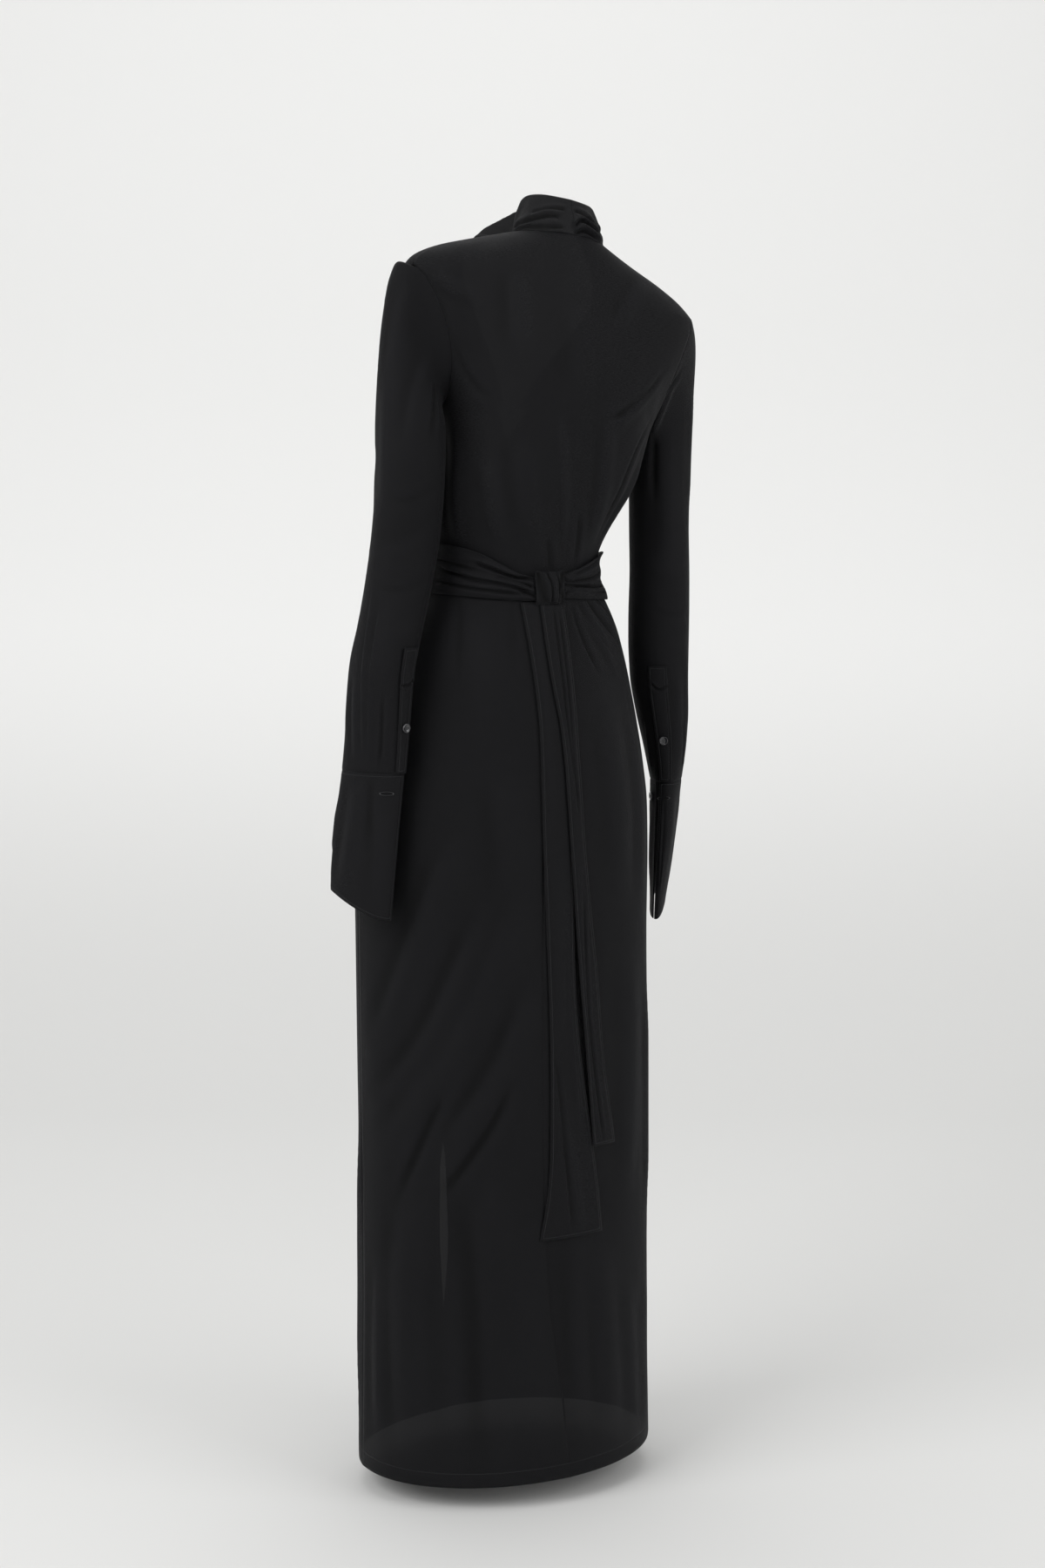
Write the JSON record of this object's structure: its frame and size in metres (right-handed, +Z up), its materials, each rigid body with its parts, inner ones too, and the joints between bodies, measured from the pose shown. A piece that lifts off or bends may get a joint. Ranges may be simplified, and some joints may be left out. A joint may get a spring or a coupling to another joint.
{
  "type": "wrap dress",
  "caption": "Long black jersey wrap dress with a ruched standing collar, long sleeves with deep open cuffs and a sash knotted behind.",
  "frame": {"origin": "inside the dress at the height of the shoulders, where the wearer holds it up, straight above the middle of the hips", "axes": "+Z up along the body, -Y towards the front, +X towards the wearer's left"},
  "size_m": [0.4886, 0.2864, 1.5497],
  "materials": {
    "jersey": "thin, slightly sheer black knit with a soft sheen",
    "button": "polished black"
  },
  "bodies": {
    "root": {"bodice_back": "jersey", "bodice_front_over": "jersey", "bodice_front_under": "jersey", "skirt_back_left": "jersey", "skirt_back_right": "jersey", "skirt_front_over": "jersey", "skirt_front_under": "jersey", "sleeve_left": "jersey", "sleeve_right": "jersey", "cuff_left": "jersey", "cuff_right": "jersey", "placket_left": "jersey", "placket_right": "jersey", "collar_left": "jersey", "collar_right": "jersey", "button_left": "button", "button_right": "button", "cuff_button_left": "button", "cuff_button_right": "button", "sash_left": "jersey", "sash_right": "jersey", "sash_front": "jersey", "sash_knot": "jersey", "sash_tail_long": "jersey", "sash_tail_short": "jersey"}
  },
  "joints": []
}
